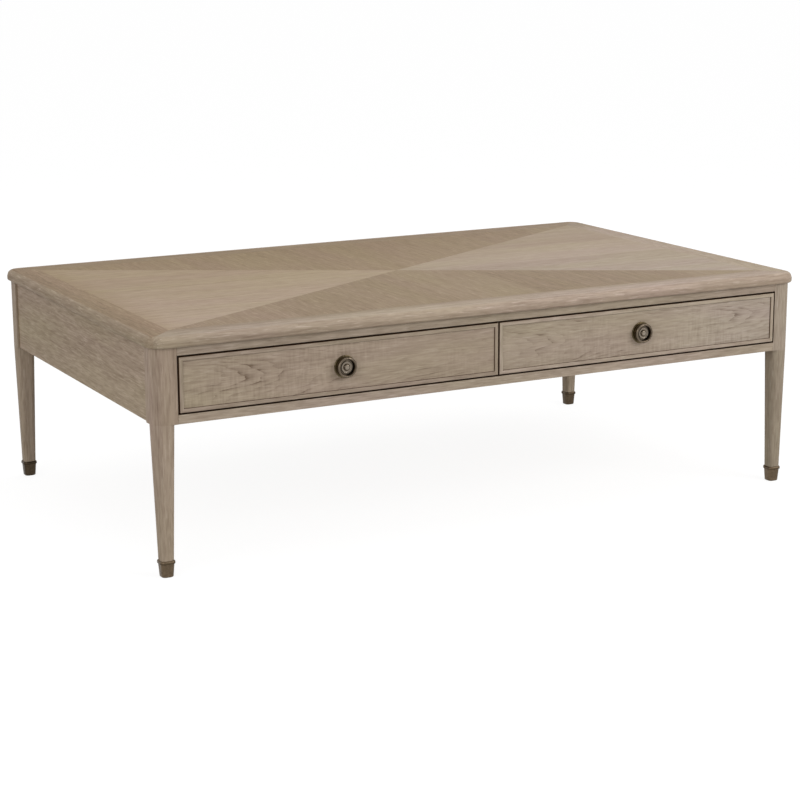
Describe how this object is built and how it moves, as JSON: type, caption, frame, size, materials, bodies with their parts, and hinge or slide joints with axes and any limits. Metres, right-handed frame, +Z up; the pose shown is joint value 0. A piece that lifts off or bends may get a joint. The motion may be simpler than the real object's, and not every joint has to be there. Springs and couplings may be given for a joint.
{
  "type": "storage coffee table",
  "caption": "Low rectangular oak coffee table with inset beaded drawers side by side, brass ring pulls, tapered legs in brass ferrules and a matched veneer top.",
  "frame": {"origin": "on the floor, under the middle of the top", "axes": "+X along the length to the right, drawers face -Y, +Z up"},
  "size_m": [1.524, 0.9203, 0.478],
  "materials": {
    "weathered_oak": "matt weathered grey-brown oak",
    "oak_veneer": "matt oak veneer, matched in four",
    "drawer_wood": "plain unstained hardwood",
    "antique_brass": "dark antique brass, rubbed on its edges",
    "steel": "plated steel screws"
  },
  "bodies": {
    "table": {"back_panel": "weathered_oak", "centre_partition": "drawer_wood", "drawer_stops": "drawer_wood", "end_panel_left": "weathered_oak", "end_panel_right": "weathered_oak", "ferrule_back_left": "antique_brass", "ferrule_back_right": "antique_brass", "ferrule_front_left": "antique_brass", "ferrule_front_right": "antique_brass", "ferrule_screws": "steel", "front_bottom_rail": "weathered_oak", "front_top_rail": "weathered_oak", "kicker_inner_left": "drawer_wood", "kicker_inner_right": "drawer_wood", "kicker_outer_left": "drawer_wood", "kicker_outer_right": "drawer_wood", "leg_back_left": "weathered_oak", "leg_back_right": "weathered_oak", "leg_front_left": "weathered_oak", "leg_front_right": "weathered_oak", "runner_inner_left": "drawer_wood", "runner_inner_right": "drawer_wood", "runner_outer_left": "drawer_wood", "runner_outer_right": "drawer_wood", "top_band_back": "weathered_oak", "top_band_front": "weathered_oak", "top_band_left": "weathered_oak", "top_band_right": "weathered_oak", "top_core": "drawer_wood", "top_screws": "steel", "top_veneer_back": "oak_veneer", "top_veneer_front": "oak_veneer", "top_veneer_left": "oak_veneer", "top_veneer_right": "oak_veneer"},
    "drawer_left": {"drawer_left_back": "drawer_wood", "drawer_left_bead": "weathered_oak", "drawer_left_bottom": "drawer_wood", "drawer_left_front": "weathered_oak", "drawer_left_inner_side": "drawer_wood", "drawer_left_outer_side": "drawer_wood", "drawer_left_stop_cleat": "drawer_wood", "pull_left_bolt": "steel", "pull_left_rosette": "antique_brass"},
    "drawer_right": {"drawer_right_back": "drawer_wood", "drawer_right_bead": "weathered_oak", "drawer_right_bottom": "drawer_wood", "drawer_right_front": "weathered_oak", "drawer_right_inner_side": "drawer_wood", "drawer_right_outer_side": "drawer_wood", "drawer_right_stop_cleat": "drawer_wood", "pull_right_bolt": "steel", "pull_right_rosette": "antique_brass"},
    "ring_left": {"pull_left_ring": "antique_brass"},
    "ring_right": {"pull_right_ring": "antique_brass"}
  },
  "joints": [
    {"name": "drawer_left_slide", "type": "slide", "parent": "table", "child": "drawer_left", "axis": [0, -1, 0], "range_m": [0, 0.478]},
    {"name": "drawer_right_slide", "type": "slide", "parent": "table", "child": "drawer_right", "axis": [0, -1, 0], "range_m": [0, 0.478]},
    {"name": "ring_left_hinge", "type": "hinge", "parent": "drawer_left", "child": "ring_left", "pos_m": [-0.3525, -0.4603, 0.399], "axis": [-1, 0, 0], "range_deg": [0, 95]},
    {"name": "ring_right_hinge", "type": "hinge", "parent": "drawer_right", "child": "ring_right", "pos_m": [0.3525, -0.4603, 0.399], "axis": [-1, 0, 0], "range_deg": [0, 95]}
  ]
}
